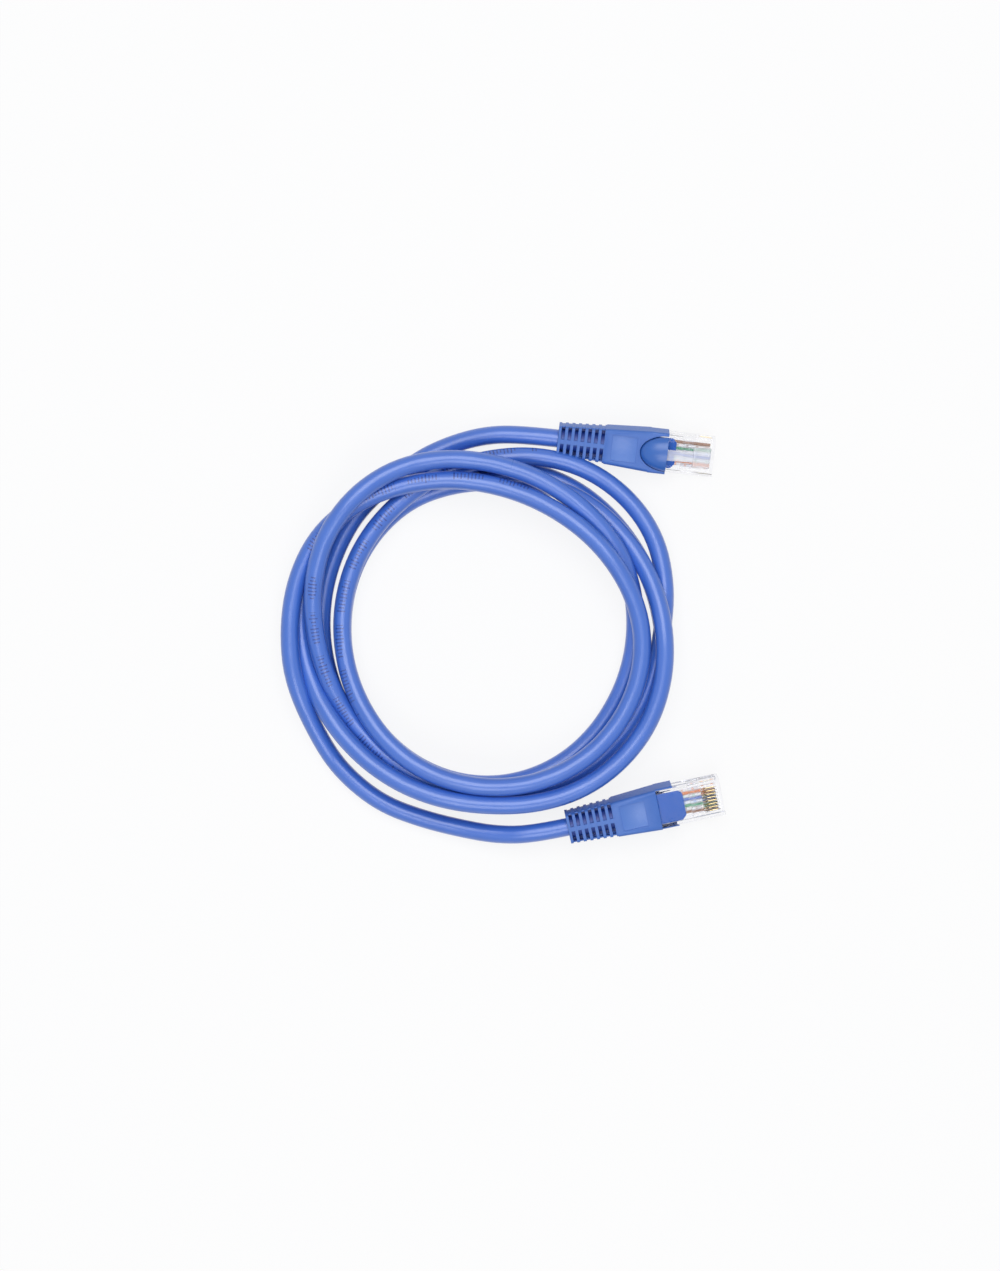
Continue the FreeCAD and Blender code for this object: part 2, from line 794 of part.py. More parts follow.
def build_boot(end, placement):
    """The soft boot: slotted strain relief, grip with its label recesses, skirt round the plug."""
    relief = tapered(
        "relief_" + end,
        "0",
        RELIEF_END,
        ("relief_rear_width", "-relief_rear_height / 2", "relief_rear_height / 2"),
        ("relief_front_width", "-relief_front_height / 2", "relief_front_height / 2"),
    )
    grip_half = "(relief_front_height / 2 + grip_step)"
    grip = tapered(
        "grip_" + end,
        RELIEF_END,
        FACE_END,
        ("relief_front_width + 2 * grip_step", "-" + grip_half, grip_half),
        ("body_width", "-body_below_axis", "body_above_axis"),
    )
    skirt = tapered(
        "skirt_" + end,
        FACE_END,
        SKIRT_END,
        ("body_width", "-body_below_axis", "plug_height / 2 - plug_edge_chamfer"),
        ("body_width", "-body_below_axis", "plug_height / 2 - plug_edge_chamfer"),
    )
    edge = mm["boot_edge_radius"]
    outer = fused(
        "boot_outer_" + end,
        [
            rounded("relief_round_" + end, relief, edge),
            rounded("grip_round_" + end, grip, edge),
            rounded("skirt_round_" + end, skirt, edge * SKIRT_ROUNDING),
        ],
    )
    plug_space = block(
        "plug_space_" + end,
        PLUG_REAR,
        SKIRT_END + " + 1",
        "plug_width + 2 * mould_clearance",
        "-plug_height / 2 - mould_clearance",
        "body_above_axis + 2",
    )
    plug_roof = block(
        "plug_roof_" + end,
        PLUG_REAR,
        FACE_END,
        "plug_width + 2 * mould_clearance",
        "plug_height / 2 + mould_clearance",
        "body_above_axis + 2",
    )
    mould_space = block(
        "mould_space_" + end,
        MOULD_REAR,
        PLUG_REAR,
        "mould_rear_width + 2 * mould_clearance",
        "-mould_rear_height / 2 - mould_clearance",
        "mould_rear_height / 2 + mould_clearance",
    )
    cable_hole = rod("cable_hole_" + end, "-1", MOULD_REAR + " + 1", "cable_diameter + 2 * mould_clearance")
    tools = [
        without("plug_seat_" + end, plug_space, [plug_roof]),
        mould_space,
        cable_hole,
        relief_slots(end),
        hood_well(end),
        label_recess("label_above_" + end, "body_above_axis", 1),
        label_recess("label_below_" + end, "body_below_axis", -1),
    ]
    return keep(without("boot_cut_" + end, outer, tools), "boot_" + end, placement)


def end_placement(end):
    base = FreeCAD.Vector(mm[f"plug_{end}_rear_x"], mm[f"plug_{end}_rear_y"], mm[f"plug_{end}_axis_height"])
    yaw = FreeCAD.Rotation(FreeCAD.Vector(0, 0, 1), mm[f"plug_{end}_yaw"])
    roll = FreeCAD.Rotation(FreeCAD.Vector(1, 0, 0), mm[f"plug_{end}_roll"])
    return FreeCAD.Placement(base, yaw * roll)


# ---- the cable between the plugs ---------------------------------------------------------

# The two leads, relative to the coil's centre, from their first bend to where the cable
# joins the coil.  Before that bend each runs straight out of its boot.
LEAD_ROUTES = {
    "a": [(-1.0, 60.3, 4.3), (-12.5, 57.2, 3.0), (-23.0, 52.0, 2.9)],
    "b": [
        (2.5, -61.4, 5.6),
        (-8.0, -59.7, 3.6),
        (-20.0, -56.8, 2.9),
        (-32.0, -51.6, 2.9),
        (-42.0, -43.8, 2.9),
        (-49.5, -34.6, 2.9),
    ],
}

# The coil's outline, as its inner and outer radius every thirty degrees from +X.
COIL_INNER = [42.0, 40.6, 40.2, 42.2, 44.4, 44.6, 42.6, 43.0, 44.0, 44.2, 43.6, 43.0]
COIL_OUTER = [57.4, 59.6, 58.2, 56.6, 60.0, 61.6, 63.0, 61.0, 57.6, 55.6, 57.6, 58.6]


def coil_centre(height=0.0):
    return FreeCAD.Vector(mm["coil_centre_x"], mm["coil_centre_y"], height)


def closed_outline(radii, grown_by, height):
    """A smooth closed line through the radii, evenly spaced round the coil's centre."""
    points = []
    for number, radius in enumerate(radii):
        angle = 2 * math.pi * number / len(radii)
        reach = FreeCAD.Vector(math.cos(angle), math.sin(angle), 0) * (radius + grown_by)
        points.append(coil_centre(height) + reach)
    curve = Part.BSplineCurve()
    curve.interpolate(points, PeriodicFlag=True)
    return Part.Wire(curve.toShape())


def build_coil():
    """The bundle's outer shape: a ring with bevelled rims, flat where it lies on the table."""
    height = mm["coil_height"]
    lower = mm["coil_lower_bevel"]
    upper = mm["coil_upper_bevel"]
    levels = [(0.0, lower), (lower, 0.0), (height - 1.5 * upper, 0.0), (height, upper)]
    outer = Part.makeLoft([closed_outline(COIL_OUTER, -inset, z) for z, inset in levels], True, True)
    inner = Part.makeLoft([closed_outline(COIL_INNER, inset, z) for z, inset in levels], True, True)
    return keep(solid_feature("coil_ring", outer.cut(inner)), "coil", FreeCAD.Placement())


def build_lead(end):
    placement = end_placement(end)
    straight = FreeCAD.Vector(-mm["lead_straight"], 0, 0)
    points = [placement.Base, placement.multVec(straight)]
    points += [coil_centre() + FreeCAD.Vector(*place) for place in LEAD_ROUTES[end]]
    tube, length, radii = tube_along(points, mm["cable_diameter"])
    print(f"lead_{end}: {length:.1f} mm, radii", [round(radius, 1) for radius in radii])
    return keep(solid_feature("lead_tube_" + end, tube), "lead_" + end, FreeCAD.Placement())


def build_plug(end):
    placement = end_placement(end)
    for build in (
        build_boot,
        build_hood,
        build_housing,
        build_latch,
        build_load_bar,
        build_contacts,
        build_mould,
        build_jacket_end,
        build_separator,
        build_wires,
    ):
        build(end, placement)
    for name, pivot, turn in (("latch", latch_pivot(), 1), ("hood", hood_pivot(), -1)):
        place = placement.multVec(pivot)
        axis = placement.Rotation.multVec(FreeCAD.Vector(0, turn, 0))
        print(f"{name}_{end} pivot", [round(c, 3) for c in place], "axis", [round(c, 5) for c in axis])


def check_document():
    for thing in doc.Objects:
        if "Invalid" in thing.State or "Error" in thing.State:
            raise RuntimeError(f"{thing.Label} did not rebuild: {thing.State}")
    for node in nodes:
        if node.Shape.isNull() or not node.Shape.isValid() or node.Shape.Volume <= 0:
            raise RuntimeError(f"{node.Label} has no valid solid")


for end in ("a", "b"):
    build_plug(end)
    build_lead(end)
build_coil()
doc.recompute()
check_document()

os.makedirs("parts", exist_ok=True)
for node in nodes:
    node.Shape.exportStep(f"parts/{node.Label}.step")
    print(f"{node.Label}: {len(node.Shape.Solids)} solids, {node.Shape.Volume:.1f} mm3")
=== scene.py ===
# %% [markdown]
# # A coiled network patch cable
# The CAD model holds every hard part in its true place: two clear plugs with their wires,
# contacts, latches and boots.  This lesson gives those parts their finishes, softens the
# moulded edges, and lays the real cable, all 1.8 m of it, where the CAD has a plain ring.

# %% Load the frame
import json
import math

import bmesh
import bpy
from mathutils import Matrix, Vector

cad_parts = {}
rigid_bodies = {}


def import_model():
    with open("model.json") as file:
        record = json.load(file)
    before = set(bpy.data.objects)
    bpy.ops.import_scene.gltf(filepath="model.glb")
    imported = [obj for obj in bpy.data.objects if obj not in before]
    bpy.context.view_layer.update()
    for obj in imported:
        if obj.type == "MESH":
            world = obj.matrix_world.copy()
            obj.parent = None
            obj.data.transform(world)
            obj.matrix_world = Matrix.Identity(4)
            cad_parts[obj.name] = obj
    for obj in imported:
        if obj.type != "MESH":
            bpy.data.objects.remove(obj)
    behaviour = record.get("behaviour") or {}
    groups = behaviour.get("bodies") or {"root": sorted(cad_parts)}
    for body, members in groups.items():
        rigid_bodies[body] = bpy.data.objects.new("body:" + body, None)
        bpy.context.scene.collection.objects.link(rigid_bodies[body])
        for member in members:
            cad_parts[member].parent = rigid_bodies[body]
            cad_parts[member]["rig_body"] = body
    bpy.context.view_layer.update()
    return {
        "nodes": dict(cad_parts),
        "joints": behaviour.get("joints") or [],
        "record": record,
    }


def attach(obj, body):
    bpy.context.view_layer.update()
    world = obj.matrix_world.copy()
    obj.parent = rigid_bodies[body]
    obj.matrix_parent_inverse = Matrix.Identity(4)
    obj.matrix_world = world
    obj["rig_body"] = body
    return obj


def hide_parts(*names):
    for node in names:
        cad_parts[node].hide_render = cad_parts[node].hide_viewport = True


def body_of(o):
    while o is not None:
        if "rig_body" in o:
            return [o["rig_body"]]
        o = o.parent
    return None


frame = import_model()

MM = 0.001
record = frame["record"]
scene = bpy.context.scene
print(len(frame["nodes"]), "CAD parts")

# %% [markdown]
# ## The camera
# The cable is looked at from straight above.  A camera close to the coil would show its high
# strands thicker than its low ones, so this one is a metre up with a long lens, where there
# is almost no perspective.  The lens comes from the height of the view at the middle of the
# coil's thickness, which is easier to reason about than a focal length.

# %% The camera
COIL_CENTRE = Vector((-46.0, -0.24, 0.0)) * MM
CAMERA_HEIGHT = 1.0
CAMERA_ASIDE = Vector((3.3 * MM, -0.8 * MM, CAMERA_HEIGHT))
VIEW_HEIGHT = 386.3 * MM
MIDDLE_OF_COIL = 6 * MM
SENSOR_HEIGHT = 36.0

camera_data = bpy.data.cameras.new("camera")
camera_data.sensor_fit = "VERTICAL"
camera_data.sensor_height = SENSOR_HEIGHT
camera_data.lens = SENSOR_HEIGHT * (CAMERA_HEIGHT - MIDDLE_OF_COIL) / VIEW_HEIGHT
camera = bpy.data.objects.new("camera", camera_data)
camera.location = COIL_CENTRE + CAMERA_ASIDE
scene.collection.objects.link(camera)
scene.camera = camera
print("lens", round(camera_data.lens, 1), "mm")

# %% [markdown]
# ## Helpers for materials
# Every finish below is a handful of shader nodes.  Colours are written as the hex values
# that a paint program shows, and one function turns them into the linear light that the
# shaders work in.  One more function adds a node and links it, so that each material reads
# from top to bottom like a recipe.


# %% Colours and nodes
def linear(hex_colour):
    """An sRGB colour such as #3366CC as linear red, green, blue and alpha."""
    channels = [int(hex_colour[i : i + 2], 16) / 255 for i in (1, 3, 5)]
    return [c / 12.92 if c <= 0.04045 else ((c + 0.055) / 1.055) ** 2.4 for c in channels] + [1.0]


def add_node(owner, kind, inputs=None, **settings):
    """Add a node to a material or world, set its properties, and set or link its inputs."""
    node = owner.node_tree.nodes.new(kind)
    for name, value in settings.items():
        setattr(node, name, value)
    for name, value in (inputs or {}).items():
        if isinstance(value, bpy.types.NodeSocket):
            owner.node_tree.links.new(value, node.inputs[name])
        else:
            node.inputs[name].default_value = value
    return node


def new_material(name):
    """A node material with nothing in it yet."""
    material = bpy.data.materials.new(name)
    material.use_nodes = True
    material.node_tree.nodes.clear()
    return material


# A Mix node has sockets for every kind of data; these are its two colours and their blend.
COLOUR_A, COLOUR_B, BLEND = 6, 7, 2
print("mid blue is", [round(c, 3) for c in linear("#3867C4")[:3]], "in linear light")

# %% [markdown]
# ## The table
# The table is a sheet of matt white card.  Brighter lamps would turn it white, but they
# would wash out the cable too.  Instead the card glows a little for the rays that look at
# it, directly or by way of metal and clear plastic.  The rest is real card, so the cable's
# soft shadow still shows.

# %% White card
CARD_TOOTH_PER_METRE = 900.0
GLOW_SHARE = 0.85


def white_card():
    """Matt white card that a viewer sees nearly evenly lit, with a soft shadow left on it."""
    material = new_material("white_card")
    place = add_node(material, "ShaderNodeTexCoord")
    grain = add_node(
        material,
        "ShaderNodeTexNoise",
        {"Vector": place.outputs["Object"], "Scale": CARD_TOOTH_PER_METRE},
    )
    bump = add_node(
        material, "ShaderNodeBump", {"Height": grain.outputs["Fac"], "Strength": 0.05, "Distance": 0.0001}
    )
    card = add_node(
        material,
        "ShaderNodeBsdfPrincipled",
        {
            "Base Color": linear("#F4F4F5"),
            "Roughness": 0.9,
            "Specular IOR Level": 0.1,
            "Normal": bump.outputs["Normal"],
        },
    )
    glow = add_node(material, "ShaderNodeEmission", {"Color": linear("#FFFFFF"), "Strength": 1.0})
    ray = add_node(material, "ShaderNodeLightPath")
    direct, through, mirrored = (
        ray.outputs[f"Is {kind} Ray"] for kind in ("Camera", "Transmission", "Glossy")
    )
    seen = add_node(material, "ShaderNodeMath", {0: direct, 1: through}, operation="ADD")
    seen = add_node(
        material, "ShaderNodeMath", {0: seen.outputs[0], 1: mirrored}, operation="ADD", use_clamp=True
    )
    share = add_node(
        material, "ShaderNodeMath", {0: seen.outputs[0], 1: GLOW_SHARE}, operation="MULTIPLY"
    )
    mix = add_node(
        material,
        "ShaderNodeMixShader",
        {0: share.outputs[0], 1: card.outputs["BSDF"], 2: glow.outputs["Emission"]},
    )
    add_node(material, "ShaderNodeOutputMaterial", {"Surface": mix.outputs["Shader"]})
    return material


# %% The sheet of card
TABLE_HALF_WIDTH = 3.0

table_mesh = bmesh.new()
bmesh.ops.create_grid(table_mesh, x_segments=1, y_segments=1, size=TABLE_HALF_WIDTH)
table_data = bpy.data.meshes.new("table")
table_mesh.to_mesh(table_data)
table_mesh.free()
table = bpy.data.objects.new("table", table_data)
table.data.materials.append(white_card())
scene.collection.objects.link(table)
print("table", [round(side, 2) for side in table.dimensions[:2]], "m")

# %% [markdown]
# ## The lights
# A glossy blue cable shows its roundness by one soft highlight along each strand.  A wide
# lamp above and behind the coil draws that highlight, and a smaller one in front opens the
# shadows between the strands.  A point lamp would leave a hard white thread instead.


# %% The lamps
def soft_lamp(name, place, aim, size, power):
    """A square studio lamp that points at a spot."""
    light = bpy.data.lights.new(name, "AREA")
    light.size = size
    light.energy = power
    lamp = bpy.data.objects.new(name, light)
    lamp.location = place
    lamp.rotation_euler = (Vector(aim) - Vector(place)).to_track_quat("-Z", "Y").to_euler()
    scene.collection.objects.link(lamp)
    print(name, "lamp", size, "m wide,", power, "W")


NEAR_COIL_CENTRE = (-0.04, 0, 0)
soft_lamp("overhead", (-0.05, 0.42, 1.25), NEAR_COIL_CENTRE, 0.9, 9.5)
soft_lamp("front", (-0.05, -0.65, 1.05), NEAR_COIL_CENTRE, 0.6, 4.0)

# %% [markdown]
# ## The room
# The rest of the studio is pale and even.  It adds only a third of full white to the light,
# so that the lamps still shape the cable, but glossy metal and clear plastic see it as
# white, as they would in a white tent.

# %% The room
ROOM_LIGHT = 0.33
ROOM_SEEN = 1.0

studio = bpy.data.worlds.new("studio")
studio.use_nodes = True
studio.node_tree.nodes.clear()
ray = add_node(studio, "ShaderNodeLightPath")
mirrored = add_node(
    studio,
    "ShaderNodeMath",
    {0: ray.outputs["Is Glossy Ray"], 1: ray.outputs["Is Transmission Ray"]},
    operation="MAXIMUM",
)
strength = add_node(
    studio, "ShaderNodeMapRange", {"Value": mirrored.outputs[0], "To Min": ROOM_LIGHT, "To Max": ROOM_SEEN}
)
daylight = add_node(
    studio,
    "ShaderNodeBackground",
    {"Color": linear("#F6F8FF"), "Strength": strength.outputs["Result"]},
)
add_node(studio, "ShaderNodeOutputWorld", {"Surface": daylight.outputs["Background"]})
scene.world = studio
scene.view_settings.view_transform = "Standard"
print("room light", ROOM_LIGHT, "and", ROOM_SEEN, "where it is mirrored")

# %% [markdown]
# ## Where each plug lies
# Both plugs are built alike, so they share one frame: x along the plug from the boot's rear
# face, y across it, and z towards the gold contacts.  The record gives each plug's nose and
# the way it points, and the latch's hinge runs across it.  Together they are the plug's
# matrix.

# %% The plugs' frames
PLUG_REACH = 47.6 * MM


def plug_frame(end):
    """The matrix from a plug's own frame, in metres, to where that plug lies."""
    nose = next(m for m in record["mounts"] if m["name"] == f"plug_{end}_entry")
    hinge = next(j for j in frame["joints"] if j["name"] == f"latch_{end}_bend")
    along = Vector(nose["axis"]).normalized()
    across = Vector(hinge["axis"]).normalized()
    up = along.cross(across)
    matrix = Matrix((along, across, up)).transposed().to_4x4()
    matrix.translation = Vector(nose["pos_m"]) - along * PLUG_REACH
    return matrix


PLUG = {end: plug_frame(end) for end in "ab"}
for end in "ab":
    print("boot", end, "starts at", [round(c / MM, 2) for c in PLUG[end].translation], "mm")

# %% [markdown]
# ## How the strands lie
# The real cable is wound by hand, so no turn repeats the one before.  A helix with noise
# would look wound by a machine.  Instead the radius is given every thirty degrees, turn by
# turn, with the order in which the strands lie on each other there, from the bottom up.

# %% The strands' radii and their order
DIAMETER = 5.5
FIRST_ANGLE = 120
TURNS = [
    # 120   150   180   210   240   270   300   330   0     30    60    90 degrees
    [56.4, 53.4, 51.4, 50.6, 51.6, 52.0, 54.6, 56.4, 53.4, 51.4, 51.4, 51.4],
    [54.6, 58.6, 57.6, 54.8, 52.9, 52.2, 55.2, 55.9, 53.2, 50.9, 49.2, 46.2],
    [47.2, 46.2, 45.0, 45.2, 46.2, 46.6, 45.6, 44.2, 44.6, 46.4, 47.8, 51.6],
    [57.2, 57.4, 52.8, 49.8, 49.0, 49.3, 50.6, 51.2, 52.6, 58.5, 58.2, 53.0],
    [48.8, 46.4, 44.8, 44.7, 46.0, 46.8, 48.0, 47.9, 46.5, 43.3, 42.2, 45.0],
    [51.8, 59.8, 60.8, 61.4, 60.8],
]
BOTTOM_TO_TOP = [
    "021453", "012453", "012435", "023145", "023145", "023145",
    "02314", "02314", "02341", "03124", "03124", "01324",
]
PER_TURN = 24
PLACES_PER_ORDER = PER_TURN // len(BOTTOM_TO_TOP)


def between(a, b, c, d):
    """Halfway from b to c on the smooth line through four evenly spaced values."""
    return (9 * (b + c) - a - d) / 16


def strand_radii():
    """The cable's radius every fifteen degrees, from the first turn to the last."""
    given = [radius for turn in TURNS for radius in turn]
    radii = []
    for i, radius in enumerate(given[:-1]):
        before = given[max(i - 1, 0)]
        beyond = given[min(i + 2, len(given) - 1)]
        radii += [radius, between(before, radius, given[i + 1], beyond)]
    return radii + [given[-1]]


radii = strand_radii()
print(len(TURNS), "turns begun, radius", min(radii), "to", max(radii), "mm")

# %% [markdown]
# ## How the strands settle
# The strands' heights could be set by hand, but each crossing would need care.  A short loop
# lets them settle instead: each strand sinks until it rests on the table or on the strand
# under it, and its own stiffness carries it over a crossing in a long low hump.

# %% Let the strands settle
SETTLING_ROUNDS = 300
PRESSES_PER_ROUND = 4
SINK = 0.1
SKIN_GAP = 0.15


def lies_over(place, upper, lower):
    """True when the upper strand's turn comes later than the lower one's in the order."""
    order = BOTTOM_TO_TOP[(place % PER_TURN) // PLACES_PER_ORDER]
    return order.find(str(upper // PER_TURN)) > order.find(str(lower // PER_TURN))


def press_apart(heights, low, high, thickness):
    """Lift the upper of two crossing strands, and lower the other, until they only touch."""
    apart = abs(radii[low] - radii[high])
    if apart >= thickness:
        return
    needed = math.sqrt(thickness**2 - apart**2)
    missing = needed - (heights[high] - heights[low])
    if missing > 0:
        heights[low] = max(DIAMETER / 2, heights[low] - missing / 2)
        heights[high] = max(heights[high] + missing / 2, heights[low] + needed)


def eased_down(heights):
    """Every strand a little lower and smoother, but never through the table."""
    last = len(heights) - 1
    eased = []
    for i, height in enumerate(heights):
        beside = heights[max(i - 1, 0)] + heights[min(i + 1, last)]
        eased.append(max(DIAMETER / 2, height / 2 + beside / 4 - SINK))
    return eased


def settled_heights():
    """The strands' heights once they have sunk onto each other."""
    crossings = []
    for place in range(PER_TURN):
        stack = range(place, len(radii), PER_TURN)
        pairs = [(i, j) for i in stack for j in stack if i != j and lies_over(place, j, i)]
        crossings += pairs * PRESSES_PER_ROUND
    heights = [DIAMETER / 2] * len(radii)
    for _ in range(SETTLING_ROUNDS):
        heights = eased_down(heights)
        for low, high in crossings:
            press_apart(heights, low, high, DIAMETER + SKIN_GAP)
    return heights


heights = settled_heights()
print("strands' middles lie", round(min(heights), 2), "to", round(max(heights), 2), "mm high")

# %% [markdown]
# ## The leads and the whole route
# From each boot the cable goes straight out, sinks to the table and joins the coil.  Each
# lead is a few points given one by one, because a formula would hide where it goes.

# %% The route
LEAD_STRAIGHT = 11.0
LEAD_A = [(-1.0, 60.3, 4.3), (-12.5, 57.2, 3.0), (-23.0, 52.0, 2.9)]
LEAD_B = [
    (2.5, -61.4, 5.6),
    (-8.0, -59.7, 3.6),
    (-20.0, -56.8, 2.9),
    (-32.3, -52.3, 2.9),
    (-42.6, -44.5, 2.9),
    (-50.2, -35.2, 2.9),
]
FIRST_COIL_POINT = 1
LAST_COIL_POINT = 5 * PER_TURN + 5


def lead_points(end, places):
    """From the boot's rear face: straight out, then through the given points."""
    straight = Vector((-LEAD_STRAIGHT * MM, 0, 0))
    points = [PLUG[end].translation.copy(), PLUG[end] @ straight]
    return points + [COIL_CENTRE + Vector(place) * MM for place in places]


def coil_point(i):
    """One point of the coil, from its radius and its height."""
    angle = math.radians(FIRST_ANGLE + i * 360 / PER_TURN)
    flat = Vector((math.cos(angle), math.sin(angle), 0)) * radii[i]
    return COIL_CENTRE + (flat + Vector((0, 0, heights[i]))) * MM


coil = [coil_point(i) for i in range(FIRST_COIL_POINT, LAST_COIL_POINT + 1)]
route = lead_points("a", LEAD_A) + coil + lead_points("b", LEAD_B)[::-1]
print("route has", len(route), "points, highest", round(max(p.z for p in route) / MM, 1), "mm")

# %% [markdown]
# ## The centreline
# Straight runs between the points would look like bent wire.  A NURBS spline with the points
# as its controls bends as evenly as a real cable does.  The line is read back as a mesh, so
# that the tube below can follow it.


# %% The centreline
def centreline(points):
    """The smooth NURBS line of the route, read back as a list of close points."""
    curve = bpy.data.curves.new("route", "CURVE")
    curve.dimensions = "3D"
    spline = curve.splines.new("NURBS")
    spline.points.add(len(points) - 1)
    for control, point in zip(spline.points, points):
        control.co = (*point, 1.0)
    spline.order_u = 3
    spline.use_endpoint_u = True
    spline.resolution_u = 6
    holder = bpy.data.objects.new("route", curve)
    scene.collection.objects.link(holder)
    bpy.context.view_layer.update()
    line = bpy.data.meshes.new_from_object(holder)
    found = [vertex.co.copy() for vertex in line.vertices]
    bpy.data.objects.remove(holder)
    return found


path = centreline(route)

# %% [markdown]
# ## The cable's body
# A ring of vertices is swept along the centreline by extruding it from point to point.  A
# bevelled curve would be quicker, but a tube made here has a UV map in real millimetres: u
# runs along the cable and v round it, so that the ink marks and the jacket's faint ripple
# keep their true size all the way.

# %% Follow one band of the tube
AROUND = 20


def ring_axes(points, i):
    """The sideways and upward directions of the ring at a point."""
    ahead = points[min(i + 1, len(points) - 1)] - points[max(i - 1, 0)]
    side = Vector((0, 0, 1)).cross(ahead).normalized()
    return side, ahead.cross(side).normalized()


def next_ring(ring, faces):
    """The new ring's vertices, in the old ring's order."""
    band = set(faces)
    return [
        next(
            edge.other_vert(vertex)
            for edge in vertex.link_edges
            if edge.other_vert(vertex) not in ring and band.intersection(edge.link_faces)
        )
        for vertex in ring
    ]


def other_end(vertex, face, place):
    """The vertex of the new ring that shares a lengthwise edge with this one."""
    return next(
        edge.other_vert(vertex)
        for edge in vertex.link_edges
        if edge in face.edges and edge.other_vert(vertex) in place
    )


def map_band(faces, ring, uv, start, end):
    """Lay one band of faces out in millimetres, u along the cable and v round it."""
    place = {vertex: number for number, vertex in enumerate(ring)}
    for face in faces:
        numbers = {place[vertex] for vertex in face.verts if vertex in place}
        wraps = numbers == {0, AROUND - 1}
        for loop in face.loops:
            new = loop.vert in place
            number = place[loop.vert if new else other_end(loop.vert, face, place)]
            v = AROUND if wraps and number == 0 else number
            loop[uv].uv = ((end if new else start) / MM, v / AROUND)


print("the tube has", AROUND, "sides, each", round(math.pi * DIAMETER / AROUND, 2), "mm wide")


# %% Sweep the cable
def swept_tube(name, points, radius):
    """A tube along the points, with a UV map in millimetres."""
    mesh = bmesh.new()
    uv = mesh.loops.layers.uv.new("millimetres")
    ring = bmesh.ops.create_circle(mesh, cap_ends=False, segments=AROUND, radius=radius)["verts"]
    edges = mesh.edges[:]
    run = 0.0
    for i, centre in enumerate(points):
        if i:
            new = bmesh.ops.extrude_edge_only(mesh, edges=edges)["geom"]
            faces = [item for item in new if isinstance(item, bmesh.types.BMFace)]
            edges = [
                item for item in new if isinstance(item, bmesh.types.BMEdge) and len(item.link_faces) == 1
            ]
            ring = next_ring(ring, faces)
        side, up = ring_axes(points, i)
        for number, vertex in enumerate(ring):
            angle = 2 * math.pi * number / AROUND
            vertex.co = centre + (side * math.cos(angle) + up * math.sin(angle)) * radius
        if i:
            step = (centre - points[i - 1]).length
            map_band(faces, ring, uv, run, run + step)
            run += step
    mesh.normal_update()
    bmesh.ops.recalc_face_normals(mesh, faces=mesh.faces[:])
    data = bpy.data.meshes.new(name)
    mesh.to_mesh(data)
    mesh.free()
    data.shade_smooth()
    tube = bpy.data.objects.new(name, data)
    scene.collection.objects.link(tube)
    return tube


cable = swept_tube("cable", path, DIAMETER / 2 * MM)
print("the cable has", len(cable.data.polygons), "faces")

# %% What the cable stands for
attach(cable, "cable")
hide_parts("coil", "lead_a", "lead_b")
print("the cable leaves boot a at", [round(c / MM, 1) for c in PLUG["a"].translation], "mm")

# %% [markdown]
# ## Ink on the jacket
# A real jacket has a legend ink-jetted along it, which comes round again every 250 mm.  An
# image could carry it, but here plain ticks of random height stand in for it, drawn by the
# shader in the cable's own millimetres, so they stay sharp and nothing can be read.  Winding
# twists the jacket slowly, so the printed line goes under the cable and comes back.

# %% Ticks, words and the printed line
TICK_PITCH, TICK_WIDTH = 1.05, 0.42
WORD_PITCH, WORD_LENGTH = 13.6, 9.9
LEGEND_PITCH, LEGEND_LENGTH, LEGEND_SHIFT = 250.0, 115.0, 200.0
TWIST_LENGTH, TWIST_START = 292, 1360


def repeated(material, along, pitch, length):
    """One for the first stretch of every pitch along the cable, and zero for the rest."""
    phase = add_node(material, "ShaderNodeMath", {0: along, 1: pitch}, operation="FLOORED_MODULO")
    return add_node(
        material, "ShaderNodeMath", {0: phase.outputs[0], 1: length}, operation="LESS_THAN"
    ).outputs[0]


def tick_heights(material, along):
    """Half of each tick's height, as a share of the way round, drawn by its own number."""
    number = add_node(material, "ShaderNodeMath", {0: along, 1: TICK_PITCH}, operation="DIVIDE")
    number = add_node(material, "ShaderNodeMath", {0: number.outputs[0]}, operation="FLOOR")
    chance = add_node(
        material, "ShaderNodeTexWhiteNoise", {"W": number.outputs[0]}, noise_dimensions="1D"
    )
    return add_node(
        material, "ShaderNodeMapRange", {"Value": chance.outputs["Value"], "To Min": 0.035, "To Max": 0.085}
    ).outputs["Result"]


def printed_line(material, along):
    """Where round the cable the ink lies, from 0.25 to 0.75 as the jacket twists."""
    turn = add_node(
        material,
        "ShaderNodeMath",
        {0: along, 1: 2 * math.pi / TWIST_LENGTH, 2: -2 * math.pi * TWIST_START / TWIST_LENGTH},
        operation="MULTIPLY_ADD",
    )
    wander = add_node(material, "ShaderNodeMath", {0: turn.outputs[0]}, operation="COSINE")
    return add_node(
        material, "ShaderNodeMath", {0: wander.outputs[0], 1: -0.25, 2: 0.5}, operation="MULTIPLY_ADD"
    ).outputs[0]


def jacket_ink(material, place, along, around):
    """How much ink covers each spot, worn thin in places."""
    band = add_node(
        material,
        "ShaderNodeMath",
        {0: around, 1: printed_line(material, along), 2: tick_heights(material, along)},
        operation="COMPARE",
    )
    shifted = add_node(material, "ShaderNodeMath", {0: along, 1: LEGEND_SHIFT}, operation="ADD")
    worn = add_node(material, "ShaderNodeTexNoise", {"Vector": place, "Scale": 1.7, "Detail": 3.0})
    worn = add_node(
        material, "ShaderNodeMapRange", {"Value": worn.outputs["Fac"], "To Min": 0.35, "To Max": 1.0}
    )
    ink = repeated(material, along, TICK_PITCH, TICK_WIDTH)
    for mask in (
        repeated(material, along, WORD_PITCH, WORD_LENGTH),
        repeated(material, shifted.outputs[0], LEGEND_PITCH, LEGEND_LENGTH),
        band.outputs[0],
        worn.outputs["Result"],
    ):
        ink = add_node(material, "ShaderNodeMath", {0: ink, 1: mask}, operation="MULTIPLY").outputs[0]
    return ink


